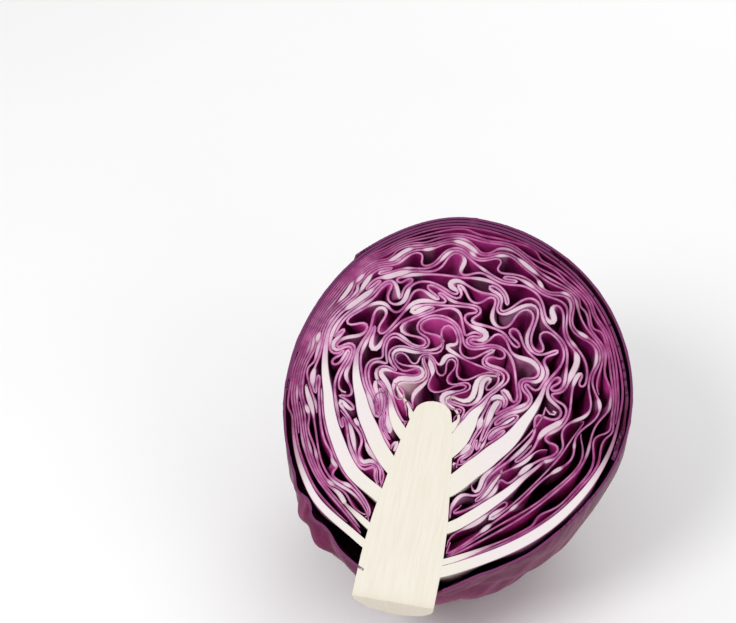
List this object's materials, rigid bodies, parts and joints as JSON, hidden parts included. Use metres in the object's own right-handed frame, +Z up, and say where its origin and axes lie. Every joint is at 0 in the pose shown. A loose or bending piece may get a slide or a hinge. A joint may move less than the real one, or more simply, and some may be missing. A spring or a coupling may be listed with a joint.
{
  "type": "half red cabbage",
  "caption": "Half of a red cabbage head, cut lengthwise through its core and lying on its round back, with nested leaves round a tapered stem and wrapper leaves outside.",
  "frame": {"origin": "bottom centre of the half's bounding box, level with the flat spot it rests on", "axes": "+Z up from the surface it lies on; +Y from the cut stem, which leans down at -Y, to the crown; +X to the right of the cut face, which leans 27 degrees from the horizontal and faces up and towards -Y"},
  "size_m": [0.1432, 0.163, 0.1187],
  "materials": {
    "outer_leaf": "waxy",
    "inner_leaf": "moist cut leaf",
    "core_flesh": "moist cut flesh"
  },
  "bodies": {
    "root": {"core": "core_flesh", "wrapper_leaf_1": "outer_leaf", "wrapper_leaf_2": "outer_leaf", "wrapper_leaf_3": "outer_leaf", "head_leaf_01": "inner_leaf", "head_leaf_02": "inner_leaf", "head_leaf_03": "inner_leaf", "head_leaf_04": "inner_leaf", "head_leaf_05": "inner_leaf", "head_leaf_06": "inner_leaf", "head_leaf_07": "inner_leaf", "head_leaf_08": "inner_leaf", "head_leaf_09": "inner_leaf", "head_leaf_10": "inner_leaf", "head_leaf_11": "inner_leaf", "head_leaf_12": "inner_leaf", "head_leaf_13": "inner_leaf", "head_leaf_14": "inner_leaf", "head_leaf_15": "inner_leaf", "head_leaf_16": "inner_leaf", "head_leaf_17": "inner_leaf", "head_leaf_18": "inner_leaf", "head_leaf_19": "inner_leaf", "head_leaf_20": "inner_leaf", "head_leaf_21": "inner_leaf", "head_leaf_22": "inner_leaf"}
  },
  "joints": []
}
